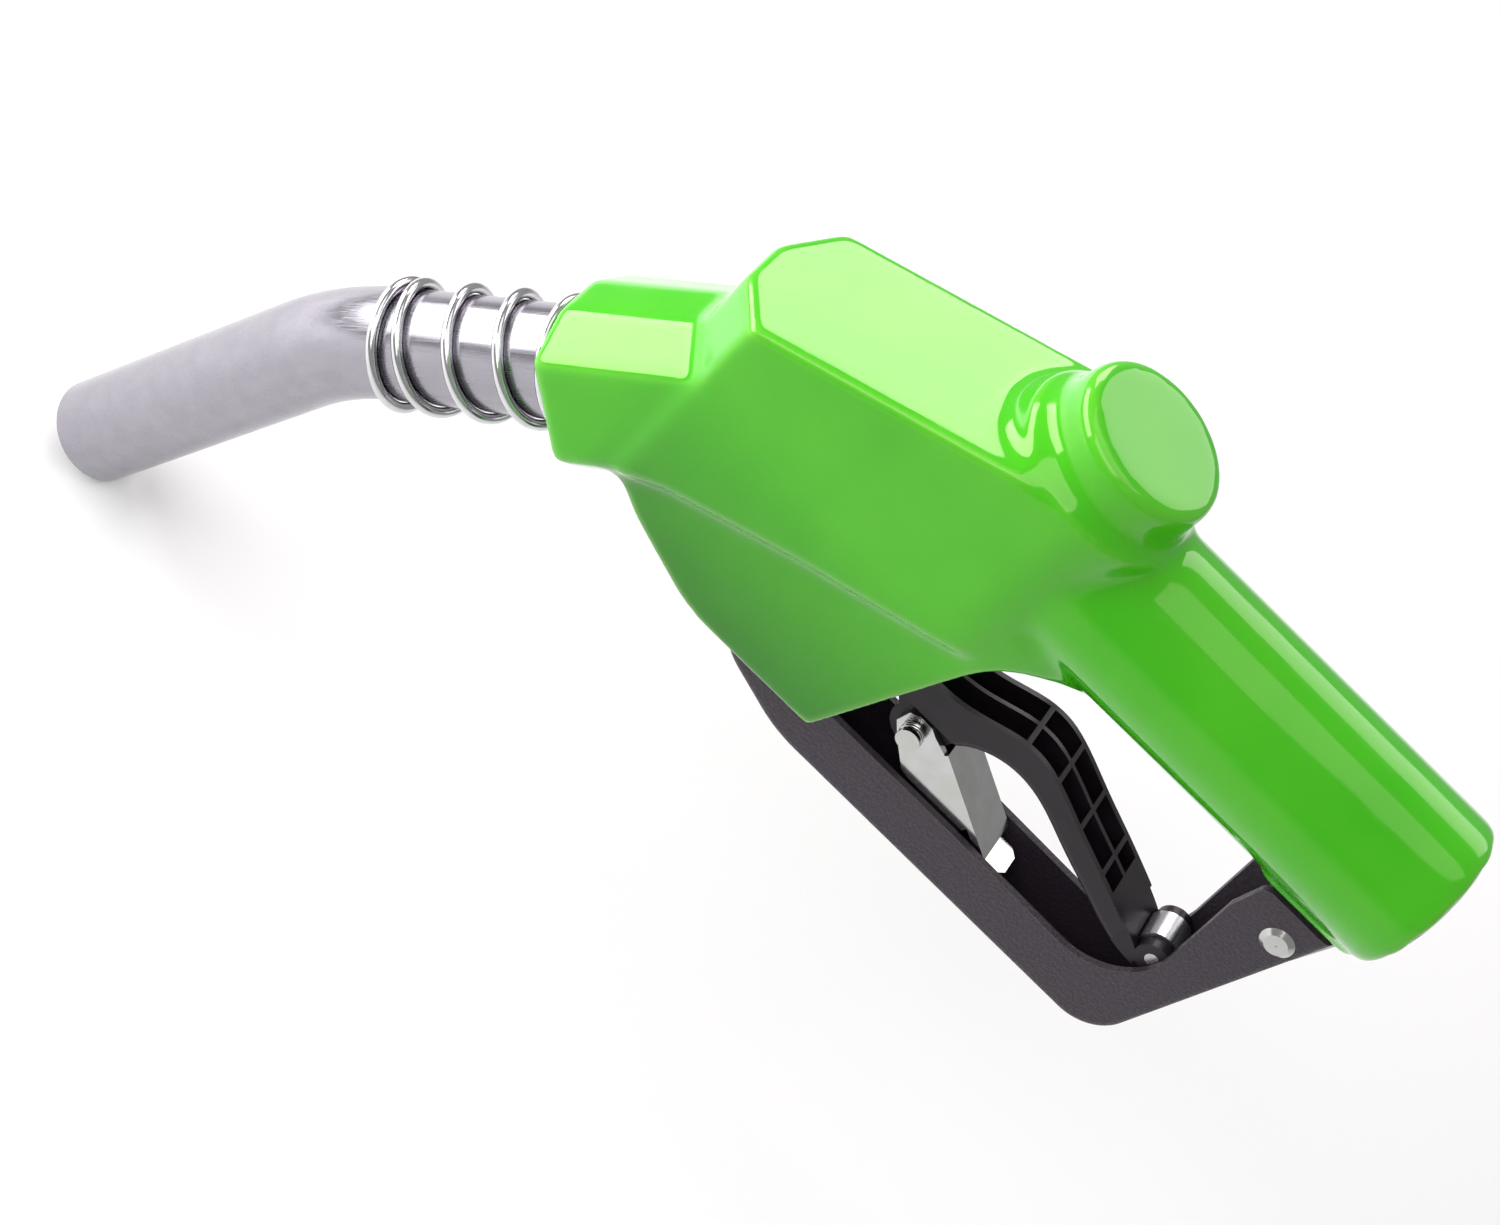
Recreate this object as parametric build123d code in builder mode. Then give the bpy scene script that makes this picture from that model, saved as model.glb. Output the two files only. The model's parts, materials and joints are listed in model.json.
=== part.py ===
"""Automatic fuel nozzle: soft sleeve, cast body, trip mechanism, lever, guard and spout.

Frame: origin at the mouth of the hose inlet, +X forward along the handle, +Y left, +Z up.
Lengths are in millimetres, angles in degrees.
"""

import os
from math import cos, radians, sin, tan

from build123d import *

os.makedirs("parts", exist_ok=True)

# ---------------------------------------------------------------- driving dimensions

SLEEVE_WALL = 3.0
SLEEVE_GAP = 0.3
CAST_INSET = SLEEVE_WALL + SLEEVE_GAP

HANDLE_RADIUS = 23.0
HANDLE_END = 118.0
INLET_RADIUS = 15.15
INLET_LENGTH = 22.0
HANDLE_BORE = 14.0
INLET_SLOT_X = (2.5, 31.0)
INLET_SLOT_WIDTH = 18.6

BODY_HALF_WIDTH = 25.9
BODY_TOP_Z = 24.0
BODY_SLOPE = 19.7
SLOPE_START_X = 145.6
NOSE_X = 222.5
NOSE_HALF_WIDTH = 8.6
SHOULDER_X = 212.8
SKIRT_HALF_WIDTH = 22.0
SKIRT_BOTTOM = -86.0
SKIRT_REAR_ROUND = 18.0
SKIRT_FRONT_ROUND = 36.0
FORM_LOW = -100.0
FORM_TALL = 160.0

VALVE_X = 132.6
REAR_ARC_X = VALVE_X - 1.5
VALVE_TILT = 6.1
BOSS_RADIUS = 26.0
BOSS_TOP = 26.6
CAP_RADIUS = 21.5
CAP_TOP = 41.1
LUG_HALF_WIDTH = 8.5
FRONT_LUG_HALF_WIDTH = 8.0

SPOUT_X = 249.4
SPOUT_Z = -82.2
SPOUT_ANGLE = 46.1
SPOUT_BEND = 22.0
SPOUT_BEND_RADIUS = 90.0
SPOUT_RADIUS = 15.0
SPOUT_WALL = 1.5
SPOUT_REAR = -62.0
SPOUT_STRAIGHT = 39.0
SPOUT_TIP_RUN = 92.0
BLOCK_FACE = -18.5
BLOCK_REAR = -85.0
SPRING_WIRE = 1.5
NUT_RADIUS = 16.6
RUNNING = 0.05

TRIP_X = 178.0
PIVOT_Z = -60.0
PIVOT_PIN_RADIUS = 3.0
PIVOT_PIN_REACH = 11.5
CLIP_Y = (-10.6, 10.6)

LEVER_HALF_WIDTH = 9.5
LEVER_TIP_HALF_WIDTH = 8.4
LEVER_WALL = 1.7
LEVER_RIB = 1.4
LEVER_ROUND = 2.8
TIP_CHEEK = 5.0
TIP_X = 27.0
TIP_Z = -72.0
TIP_RADIUS = 6.0
TIP_PIN_RADIUS = 2.0
ROLLER_HALF_WIDTH = 4.7
PAD_X = 138.0
PAD_Z = -52.9
PAD_SIZE = (14.0, 12.0, 1.8)
LATCH_X = 112.0
LATCH_Z = -73.0
LATCH_INNER = 6.3
LATCH_OUTER = 8.1
LATCH_TIP_HALF_WIDTH = 5.6
LATCH_PIN_RADIUS = 2.2

GUARD_HALF_WIDTH = 11.0
GUARD_SHEET = 2.2
GUARD_BEND = 3.0
GUARD_FLOOR = -107.2
GUARD_SCREW_X = 197.0
GUARD_SCREW_Y = (-4.5, 4.5)
EAR_CORNER = 3.0
EARS_ABOVE = -26.0
RACK_HALF_WIDTH = 5.0
RACK_RIVETS_X = 100.6
RACK_RIVETS_Y = (-2.6, 2.6)
RIVET_X = 14.2
RIVET_Z = -35.2
RIVET_RADIUS = 3.0
THROUGH = 20.0

# ---------------------------------------------------------------- heights on the valve and trip axes

CHAMBER_FLOOR = -10.0
LOWER_FLOOR = -27.0
GLAND_BOTTOM = -42.0
PLUG_BOTTOM = 11.0
POPPET_Z = CHAMBER_FLOOR + 1.6
STEM_TIP = -51.7
STEM_RADIUS = 3.0
STEM_BORE = STEM_RADIUS + RUNNING

LEDGE_Z = -5.4
RING_TOP_Z = -9.0
RING_BOTTOM_Z = -16.0
SPRING_SEAT_Z = -34.0
TUBE_BOTTOM_Z = -49.2
TUBE_RADIUS = 10.0
SHAFT_RADIUS = 5.0
SHAFT_BORE = SHAFT_RADIUS + RUNNING
COVER_RADIUS = 18.0
COVER_TOP_Z = 1.9
DIAPHRAGM_TOP = LEDGE_Z + 1.0
BALL_Z = -12.0
BALL_RADIUS = 2.0
BALL_CIRCLE = 6.3
BALL_ANGLES = [radians(120 * turn) for turn in range(3)]
SCREW_CIRCLE = 15.4
COVER_SCREW_RADIUS = 1.5
COVER_HEAD_RADIUS = 2.45
COVER_HEAD_SEAT = COVER_TOP_Z - 1.6

RETAINER_LOW = -30.0
RETAINER_HIGH = -27.0
SENSING_OFFSET = 10.4

# ---------------------------------------------------------------- reference planes

tilt = radians(VALVE_TILT)
dive = radians(SPOUT_ANGLE)

HANDLE = Plane(origin=(0, 0, 0), x_dir=(0, 1, 0), z_dir=(1, 0, 0))
VALVE = Plane(
    origin=(VALVE_X, 0, 0), x_dir=(cos(tilt), 0, sin(tilt)), z_dir=(-sin(tilt), 0, cos(tilt)),
)
SPOUT = Plane(origin=(SPOUT_X, 0, SPOUT_Z), x_dir=(0, 1, 0), z_dir=(cos(dive), 0, -sin(dive)))
TRIP = Plane(origin=(TRIP_X, 0, 0), x_dir=(1, 0, 0), z_dir=(0, 0, 1))


def spun(plane, angle):
    """The same plane turned about its own Z axis."""
    turn = radians(angle)
    across = plane.x_dir * cos(turn) + plane.y_dir * sin(turn)
    return Plane(origin=plane.origin, x_dir=across, z_dir=plane.z_dir)


def cross_plane(x, z):
    """A plane whose own Z axis is the cross axis +Y, through a point of the side view."""
    return Plane(origin=(x, 0, z), x_dir=(0, 0, 1), z_dir=(0, 1, 0))


# ---------------------------------------------------------------- shape helpers


def disc(plane, radius, low, high, bore=0.0, mode=Mode.ADD):
    """A cylinder, or a ring when it has a bore, between two heights on a plane's own axis."""
    with BuildSketch(plane.offset(low)) as section:
        Circle(radius)
        if bore:
            Circle(bore, mode=Mode.SUBTRACT)
    extrude(section.sketch, amount=high - low, mode=mode)


def turned(plane, profile, mode=Mode.ADD):
    """A half section of (radius, height) points revolved about a plane's own Z axis."""
    with BuildSketch(Plane(origin=plane.origin, x_dir=plane.x_dir, z_dir=-plane.y_dir)) as section:
        with BuildLine():
            Polyline(*profile, close=True)
        make_face()
    revolve(section.sketch, axis=Axis(plane.origin, plane.z_dir), mode=mode)


def side_prism(points, half_width, inset=0.0, mode=Mode.ADD):
    """An outline in the XZ plane, drawn in by an inset and extruded equally to both sides."""
    with BuildSketch(Plane.XZ.offset(-half_width)) as section:
        with BuildLine():
            Polyline(*points, close=True)
        make_face()
        if inset:
            offset(amount=-inset, kind=Kind.INTERSECTION)
    extrude(section.sketch, amount=2 * half_width, mode=mode)


def rounded_prism(path, half_width, mode=Mode.ADD):
    """A closed outline of (point, corner radius) pairs in the XZ plane, extruded equally to both sides."""
    with BuildSketch(Plane.XZ.offset(-half_width)) as section:
        with BuildLine():
            FilletPolyline(
                *[point for point, _ in path], radius=[radius for _, radius in path], close=True,
            )
        make_face()
    extrude(section.sketch, amount=2 * half_width, mode=mode)


def side_layer(points, y_low, y_high, mode=Mode.ADD):
    """An outline in the XZ plane extruded from one y to another."""
    with BuildSketch(Plane.XZ.offset(-y_high)) as section:
        with BuildLine():
            Polyline(*points, close=True)
        make_face()
    extrude(section.sketch, amount=y_high - y_low, mode=mode)


def coil(plane, mean_radius, wire_radius, low, high, turns):
    """A helical spring between two heights on a plane's own axis."""
    pitch = (high - low - 2 * wire_radius) / turns
    line = Helix(pitch=pitch, height=pitch * turns, radius=mean_radius)
    line = plane.offset(low + wire_radius).from_local_coords(line)
    with BuildSketch(Plane(origin=line @ 0, z_dir=line % 0)) as section:
        Circle(wire_radius)
    sweep(section.sketch, path=line, is_frenet=True)


def screw_ring(radius, low, high, mode=Mode.ADD):
    """Four equal cylinders round the trip axis, on the cover's screw circle."""
    with BuildSketch(TRIP.offset(low)) as section:
        with PolarLocations(SCREW_CIRCLE, 4, start_angle=45):
            Circle(radius)
    extrude(section.sketch, amount=high - low, mode=mode)


def finish(builder, name):
    """Label a finished piece and write it to its own file."""
    builder.part.label = name
    export_step(builder.part, f"parts/{name}.step")


# ---------------------------------------------------------------- outlines in the side view

body_side = [
    (104.5, 22.5), (110.0, BODY_TOP_Z), (SLOPE_START_X, BODY_TOP_Z),
    (NOSE_X, BODY_TOP_Z - (NOSE_X - SLOPE_START_X) * tan(radians(BODY_SLOPE))),
    (NOSE_X, -50.0), (213.0, -65.0), (202.0, -57.4), (166.0, -42.8), (129.0, -30.2), (119.0, -27.5),
    (108.0, -4.0),
]
skirt_path = [
    ((90.0, -15.0), 0), ((90.0, -22.0), 0), ((113.1, -24.5), SKIRT_REAR_ROUND), ((132.5, SKIRT_BOTTOM), 0),
    ((176.0, SKIRT_BOTTOM), SKIRT_FRONT_ROUND), ((205.4, -73.8), SKIRT_FRONT_ROUND), ((217.0, -62.0), 0),
    ((200.0, -35.0), 0), ((130.0, -15.0), 0),
]
skirt_hollow = [
    (112.0, -26.0), (122.0, -22.0), (166.0, -34.0), (196.0, -44.0), (204.5, -58.0), (206.0, -66.5),
    (202.8, -71.4), (195.6, -75.1), (185.5, -79.2), (174.0, -84.0), (174.0, -95.0), (110.0, -95.0),
    (105.0, -45.0),
]
skirt_plan = [(88.0, 7.0), (104.0, 17.0), (116.0, SKIRT_HALF_WIDTH), (220.0, SKIRT_HALF_WIDTH)]
block_section = [
    (-24.5, 13.8), (-8.0, 20.5), (8.0, 20.5), (24.5, 13.8),
    (24.5, -14.0), (15.0, -21.5), (-15.0, -21.5), (-24.5, -14.0),
]


def body_form(inset):
    """The outer form of handle, body, boss and spout block, drawn in by an inset all over."""
    side_prism(body_side, BODY_HALF_WIDTH - inset, inset)
    with BuildSketch(Plane.XY.offset(FORM_LOW)) as plan:
        with BuildLine():
            outline = Polyline(
                (REAR_ARC_X, BODY_HALF_WIDTH), (SHOULDER_X, BODY_HALF_WIDTH), (NOSE_X, NOSE_HALF_WIDTH),
                (NOSE_X, -NOSE_HALF_WIDTH), (SHOULDER_X, -BODY_HALF_WIDTH), (REAR_ARC_X, -BODY_HALF_WIDTH),
            )
            ThreePointArc(outline @ 1, (REAR_ARC_X - BODY_HALF_WIDTH, 0), outline @ 0)
        make_face()
        if inset:
            offset(amount=-inset)
    extrude(plan.sketch, amount=FORM_TALL, mode=Mode.INTERSECT)
    with BuildSketch(SPOUT.offset(BLOCK_REAR)) as block:
        Polygon(*block_section, align=None)
        if inset:
            offset(amount=-inset, kind=Kind.INTERSECTION)
    extrude(block.sketch, amount=BLOCK_FACE - BLOCK_REAR - inset)
    disc(VALVE, BOSS_RADIUS - inset, -6, BOSS_TOP - inset)
    disc(HANDLE, HANDLE_RADIUS - inset, 0, HANDLE_END)


# ---------------------------------------------------------------- sleeve over the casting

with BuildPart() as skirt:
    rounded_prism(skirt_path, SKIRT_HALF_WIDTH)
    with BuildSketch(Plane.XY.offset(FORM_LOW)):
        Polygon(*skirt_plan, *[(x, -y) for x, y in reversed(skirt_plan)], align=None)
    extrude(amount=FORM_TALL, mode=Mode.INTERSECT)

with BuildPart() as sleeve:
    body_form(0)
    add(skirt.part)
    turned(VALVE, [
        (0, 0), (CAP_RADIUS + 1.6, 0), (CAP_RADIUS + 1.6, BOSS_TOP), (CAP_RADIUS + 0.4, 29.5),
        (CAP_RADIUS, 38.6), (CAP_RADIUS - 0.8, 40.4), (CAP_RADIUS - 2.6, CAP_TOP), (0, CAP_TOP),
    ])
    rim = sleeve.edges().filter_by(GeomType.CIRCLE).group_by(Axis.X)[0].sort_by(SortBy.RADIUS)[-1]
    fillet(rim, radius=2.0)

with BuildPart() as sleeve_core:
    body_form(SLEEVE_WALL)
    disc(HANDLE, HANDLE_RADIUS - SLEEVE_WALL, -5, HANDLE_END)
    disc(VALVE, CAP_RADIUS - SLEEVE_WALL + 0.2, 0, CAP_TOP - SLEEVE_WALL)
    side_prism(skirt_hollow, SKIRT_HALF_WIDTH - SLEEVE_WALL)
    disc(SPOUT, NUT_RADIUS + 0.7, -40, 0)

slot_x_low, slot_x_high = INLET_SLOT_X
slot_middle = (slot_x_low + slot_x_high) / 2
slot_length = slot_x_high - slot_x_low
with BuildPart() as sleeve_slot:
    with BuildSketch(Plane.XY.offset(-30)):
        with Locations((slot_middle, 0)):
            RectangleRounded(slot_length, INLET_SLOT_WIDTH, 2)
    extrude(amount=20)
    with Locations((181, 0, -84)):
        Box(44, 23, 23)

with BuildPart() as slot_lip:
    with BuildSketch(Plane.XY.offset(-23.5)):
        with Locations((slot_middle, 0)):
            RectangleRounded(slot_length + 4.4, INLET_SLOT_WIDTH + 4.4, 4)
    extrude(amount=8)

with BuildPart() as sleeve_whole:
    add(sleeve.part)
    add(slot_lip.part)
    add(sleeve_core.part, mode=Mode.SUBTRACT)
    add(sleeve_slot.part, mode=Mode.SUBTRACT)
finish(sleeve_whole, "sleeve")

# ---------------------------------------------------------------- body casting

lug_side = [
    (3.5, -14.0), (29.0, -14.0), (27.5, -24.0), (21.0, -38.5), (14.2, -42.7), (7.5, -38.5), (4.5, -24.0),
]
front_lug_side = [
    (193.5, -43.0), (193.5, -73.0), (200.0, -73.0), (202.0, -69.0), (202.0, -58.0), (197.0, -47.0),
]

with BuildPart() as casting:
    body_form(CAST_INSET)
    side_prism(lug_side, LUG_HALF_WIDTH)
    side_prism(front_lug_side, FRONT_LUG_HALF_WIDTH)
    disc(VALVE, 9.0, -36, 0)
    disc(TRIP, TUBE_RADIUS, TUBE_BOTTOM_Z, 0)
    disc(VALVE, 40.0, BOSS_TOP - CAST_INSET, 60, mode=Mode.SUBTRACT)
    disc(HANDLE, HANDLE_BORE, -5, HANDLE_END, mode=Mode.SUBTRACT)
    disc(HANDLE, INLET_RADIUS, -5, INLET_LENGTH, mode=Mode.SUBTRACT)
    turned(VALVE, [
        (0, 40), (0, GLAND_BOTTOM - 2), (6.0, GLAND_BOTTOM - 2), (6.0, -31), (STEM_BORE, -31),
        (STEM_BORE, LOWER_FLOOR), (13.5, LOWER_FLOOR), (13.5, CHAMBER_FLOOR - 3), (10, CHAMBER_FLOOR - 3),
        (10, CHAMBER_FLOOR), (15.2, CHAMBER_FLOOR), (15.2, 10), (15.9, 10), (15.9, 40),
    ], mode=Mode.SUBTRACT)

with BuildPart() as passage:
    with BuildSketch(Plane.XY.offset(-28)):
        with Locations(((VALVE_X + TRIP_X) / 2 + 6, 0)):
            SlotOverall(66, 26)
    extrude(amount=13)
    disc(TRIP, 16.0, -28, -15)
    disc(SPOUT, 12.5, -80, SPOUT_REAR)
    disc(TRIP, TUBE_RADIUS, -60, 10, mode=Mode.SUBTRACT)

with BuildPart() as bores:
    turned(TRIP, [
        (0, 30), (0, TUBE_BOTTOM_Z - 1), (SHAFT_BORE, TUBE_BOTTOM_Z - 1), (SHAFT_BORE, -42), (7, -42),
        (7, -40), (SHAFT_BORE, -40), (SHAFT_BORE, SPRING_SEAT_Z), (8.5, SPRING_SEAT_Z), (8.5, RING_BOTTOM_Z),
        (10.5, RING_BOTTOM_Z), (10.5, RING_TOP_Z), (12.5, RING_TOP_Z), (12.5, LEDGE_Z),
        (COVER_RADIUS + 0.1, LEDGE_Z), (COVER_RADIUS + 0.1, 30),
    ])
    turned(SPOUT, [
        (0, SPOUT_REAR), (15.1, SPOUT_REAR), (15.1, -42), (16.5, -42), (16.5, -39.5), (15.1, -39.5),
        (15.1, -34),
        (NUT_RADIUS + 0.1, -34), (NUT_RADIUS + 0.1, 0), (0, 0),
    ])
    for y in GUARD_SCREW_Y:
        with Locations((GUARD_SCREW_X, y, -73)):
            Cylinder(2.0, 24)
    disc(cross_plane(RIVET_X, RIVET_Z), RIVET_RADIUS + RUNNING, -THROUGH, THROUGH)

with BuildPart() as cover_screw_holes:
    screw_ring(COVER_SCREW_RADIUS, -12, -4)

with BuildPart() as casting_whole:
    add(casting.part)
    for cut in (passage, bores, cover_screw_holes):
        add(cut.part, mode=Mode.SUBTRACT)
finish(casting_whole, "body_casting")

# ---------------------------------------------------------------- main valve

with BuildPart() as valve_cap:
    turned(VALVE, [
        (0, 33), (11.5, 33), (11.5, PLUG_BOTTOM), (15.8, PLUG_BOTTOM), (15.8, 17), (14.6, 17), (14.6, 19.4),
        (15.8, 19.4), (15.8, 23.5), (18.2, 23.5), (18.2, 36), (17, 37.6), (0, 37.6),
    ])
finish(valve_cap, "valve_cap")

with BuildPart() as cap_seal:
    turned(VALVE, [(14.7, 17.2), (15.8, 17.2), (15.8, 19.2), (14.7, 19.2)])
finish(cap_seal, "cap_seal")

with BuildPart() as poppet:
    turned(VALVE, [
        (STEM_RADIUS, POPPET_Z), (12.5, POPPET_Z), (12.5, POPPET_Z + 3), (7, POPPET_Z + 4), (7, POPPET_Z + 9),
        (STEM_RADIUS, POPPET_Z + 9),
    ])
finish(poppet, "main_poppet")

with BuildPart() as poppet_seal:
    disc(VALVE, 12.3, CHAMBER_FLOOR, POPPET_Z, bore=STEM_RADIUS)
finish(poppet_seal, "poppet_seal")

with BuildPart() as stem:
    turned(VALVE, [
        (0, STEM_TIP), (1.6, STEM_TIP + 0.35), (STEM_RADIUS, STEM_TIP + 1.7), (STEM_RADIUS, POPPET_Z + 10),
        (2, POPPET_Z + 11.5), (0, POPPET_Z + 11.5),
    ])
finish(stem, "valve_stem")

with BuildPart() as poppet_spring:
    coil(VALVE, 9.0, 0.9, POPPET_Z + 4.2, 33, 6)
finish(poppet_spring, "poppet_spring")

with BuildPart() as stem_packing:
    disc(VALVE, 5.9, -34, -31.2, bore=STEM_RADIUS + 0.03)
finish(stem_packing, "stem_packing")

with BuildPart() as gland_nut:
    turned(VALVE, [
        (STEM_BORE, GLAND_BOTTOM), (6.6, GLAND_BOTTOM), (6.6, -36.2), (5.9, -36.2), (5.9, -34.2),
        (STEM_BORE, -34.2),
    ])
    with BuildSketch(VALVE.offset(GLAND_BOTTOM)):
        Circle(12)
        RegularPolygon(6.9, 6, mode=Mode.SUBTRACT)
    extrude(amount=5.6, mode=Mode.SUBTRACT)
finish(gland_nut, "gland_nut")

# ---------------------------------------------------------------- trip plunger and vacuum diaphragm

with BuildPart() as plunger:
    turned(TRIP, [
        (0, PIVOT_Z + 4), (0, -18), (4.4, -18), (4.4, -8.6), (7.9, -8.6), (7.9, RING_BOTTOM_Z + 0.2),
        (SHAFT_RADIUS, RING_BOTTOM_Z + 0.2), (SHAFT_RADIUS, -51), (4, -51.6), (4, PIVOT_Z + 4),
    ])
    tongue = [(TRIP_X - 6.5, PIVOT_Z), (TRIP_X + 6.5, PIVOT_Z), (TRIP_X + 4, -51.8), (TRIP_X - 4, -51.8)]
    side_prism(tongue, 4)
    disc(cross_plane(TRIP_X, PIVOT_Z), 6.5, -4, 4)
    disc(cross_plane(TRIP_X, PIVOT_Z), PIVOT_PIN_RADIUS + RUNNING, -5, 5, mode=Mode.SUBTRACT)
    for angle in BALL_ANGLES:
        spoke = Plane(origin=(TRIP_X, 0, BALL_Z), z_dir=(cos(angle), sin(angle), 0))
        disc(spoke, BALL_RADIUS + RUNNING, 0, 9, mode=Mode.SUBTRACT)
finish(plunger, "trip_plunger")

with BuildPart() as balls:
    for angle in BALL_ANGLES:
        with Locations((TRIP_X + BALL_CIRCLE * cos(angle), BALL_CIRCLE * sin(angle), BALL_Z)):
            Sphere(BALL_RADIUS)
finish(balls, "latch_balls")

with BuildPart() as latch_ring:
    disc(TRIP, 10.4, RING_BOTTOM_Z, RING_TOP_Z, bore=8.4)
finish(latch_ring, "latch_ring")

with BuildPart() as trip_spring:
    coil(TRIP, 6.5, 0.6, SPRING_SEAT_Z, RING_BOTTOM_Z + 0.1, 6)
finish(trip_spring, "trip_spring")

with BuildPart() as trip_seal:
    disc(TRIP, 6.9, -41.9, -40.1, bore=SHAFT_RADIUS + 0.03)
finish(trip_seal, "trip_seal")

with BuildPart() as latch_pin:
    turned(TRIP, [
        (0, -14), (2.2, -14), (4.2, -13), (4.2, -10.6), (2, -9.6), (2, DIAPHRAGM_TOP), (8, DIAPHRAGM_TOP),
        (8, DIAPHRAGM_TOP + 1.2), (0, DIAPHRAGM_TOP + 1.2),
    ])
finish(latch_pin, "latch_pin")

with BuildPart() as diaphragm:
    disc(TRIP, COVER_RADIUS, LEDGE_Z, DIAPHRAGM_TOP, bore=2.0)
    screw_ring(COVER_SCREW_RADIUS, LEDGE_Z, DIAPHRAGM_TOP, mode=Mode.SUBTRACT)
finish(diaphragm, "diaphragm")

with BuildPart() as diaphragm_spring:
    coil(TRIP, 5.0, 0.4, DIAPHRAGM_TOP + 1.2, 0.6, 3)
finish(diaphragm_spring, "diaphragm_spring")

with BuildPart() as vacuum_cover:
    turned(TRIP, [
        (0, 0.6), (11, 0.6), (11, DIAPHRAGM_TOP), (COVER_RADIUS, DIAPHRAGM_TOP),
        (COVER_RADIUS, COVER_TOP_Z - 0.8), (COVER_RADIUS - 0.8, COVER_TOP_Z), (0, COVER_TOP_Z),
    ])
    screw_ring(COVER_SCREW_RADIUS, DIAPHRAGM_TOP, COVER_TOP_Z, mode=Mode.SUBTRACT)
    screw_ring(COVER_HEAD_RADIUS + RUNNING, COVER_HEAD_SEAT, COVER_TOP_Z + 1, mode=Mode.SUBTRACT)
finish(vacuum_cover, "vacuum_cover")

with BuildPart() as cover_screws:
    screw_ring(COVER_SCREW_RADIUS, -11.5, COVER_HEAD_SEAT)
    with BuildSketch(TRIP.offset(COVER_HEAD_SEAT)):
        with PolarLocations(SCREW_CIRCLE, 4, start_angle=45):
            Circle(COVER_HEAD_RADIUS)
            RegularPolygon(1.0, 6, mode=Mode.SUBTRACT)
    extrude(amount=1.5)
finish(cover_screws, "vacuum_cover_screws")

# ---------------------------------------------------------------- spout, its check valve and anchor spring

bend = radians(SPOUT_BEND)
steep = dive + bend


def spout_line(shift, start, tip_run):
    """The spout's centre line, shifted towards the underside of its bend, from a start height to the tip."""
    first = SPOUT.origin + SPOUT.z_dir * start - SPOUT.y_dir * shift
    turn = SPOUT.origin + SPOUT.z_dir * SPOUT_STRAIGHT - SPOUT.y_dir * shift
    radius = SPOUT_BEND_RADIUS - shift
    centre = SPOUT.origin + SPOUT.z_dir * SPOUT_STRAIGHT - SPOUT.y_dir * SPOUT_BEND_RADIUS
    middle = centre + Vector(sin(dive + bend / 2), 0, cos(dive + bend / 2)) * radius
    bent = centre + Vector(sin(steep), 0, cos(steep)) * radius
    tip = bent + Vector(cos(steep), 0, -sin(steep)) * tip_run
    return first, turn, middle, bent, tip


def spout_sweep(shift, start, tip_run, radius, bore):
    """A tube along the spout's line."""
    first, turn, middle, bent, tip = spout_line(shift, start, tip_run)
    with BuildLine() as path:
        Line(first, turn)
        ThreePointArc(turn, middle, bent)
        Line(bent, tip)
    with BuildSketch(Plane(origin=first, x_dir=(0, 1, 0), z_dir=SPOUT.z_dir)) as section:
        Circle(radius)
        Circle(bore, mode=Mode.SUBTRACT)
    sweep(section.sketch, path=path.wire())


TIP = Plane(origin=spout_line(0, 0, SPOUT_TIP_RUN)[-1], x_dir=(0, 1, 0), z_dir=(cos(steep), 0, -sin(steep)))
with BuildPart() as spout_tube:
    spout_sweep(0, SPOUT_REAR + 12, SPOUT_TIP_RUN, SPOUT_RADIUS, SPOUT_RADIUS - SPOUT_WALL)
    tip_edges = spout_tube.edges().filter_by(GeomType.CIRCLE).sort_by(Axis.Z)[:2]
    chamfer(tip_edges.sort_by(SortBy.RADIUS)[-1], length=0.9)
    port = Plane(origin=TIP.origin - TIP.z_dir * 14, x_dir=TIP.z_dir, z_dir=-TIP.y_dir)
    disc(port, 1.8, 0, 20, mode=Mode.SUBTRACT)
finish(spout_tube, "spout_tube")

with BuildPart() as spout_nut:
    turned(SPOUT, [
        (SPOUT_RADIUS + 0.05, -33.8), (NUT_RADIUS, -33.8), (NUT_RADIUS, -17.2), (NUT_RADIUS - 0.8, -16.4),
        (SPOUT_RADIUS + 0.05, -16.4),
    ])
finish(spout_nut, "spout_nut")

with BuildPart() as spout_seal:
    disc(SPOUT, 16.4, -41.9, -39.6, bore=SPOUT_RADIUS + 0.02)
finish(spout_seal, "spout_seal")

with BuildPart() as anchor_spring:
    ring_mean = SPOUT_RADIUS + SPRING_WIRE + 0.2
    for height in (-14.7, 37.2):
        with Locations(SPOUT.offset(height).location):
            Torus(ring_mean, SPRING_WIRE)
    coil(spun(SPOUT, 150), ring_mean, SPRING_WIRE, -13.5, 36.0, 3)
finish(anchor_spring, "anchor_spring")

with BuildPart() as sensing_tube:
    spout_sweep(SENSING_OFFSET, RETAINER_HIGH + 0.2, SPOUT_TIP_RUN - 9, 2.8, 2.0)
finish(sensing_tube, "sensing_tube")

with BuildPart() as check_seat:
    turned(SPOUT, [(8.5, SPOUT_REAR), (15, SPOUT_REAR), (15, -50.2), (11.5, -50.2), (8.5, -54)])
finish(check_seat, "check_seat")

with BuildPart() as check_poppet:
    turned(SPOUT, [
        (0, -55.5), (8.1, -53.8), (11.3, -49.8), (11.3, -47.5), (3, -44), (2.5, -38), (2.5, -24.0),
        (0, -23.5),
    ])
finish(check_poppet, "check_poppet")

with BuildPart() as check_retainer:
    disc(SPOUT, SPOUT_RADIUS - SPOUT_WALL - 0.02, RETAINER_LOW, RETAINER_HIGH, bore=10.8)
    disc(SPOUT, 5.0, RETAINER_LOW, RETAINER_HIGH, bore=2.55)
    for turn in range(3):
        with BuildSketch(spun(SPOUT.offset(RETAINER_LOW), 30 + 120 * turn)) as spoke:
            with Locations((8, 0)):
                Rectangle(6.6, 2.4)
        extrude(spoke.sketch, amount=RETAINER_HIGH - RETAINER_LOW)
finish(check_retainer, "check_retainer")

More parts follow.
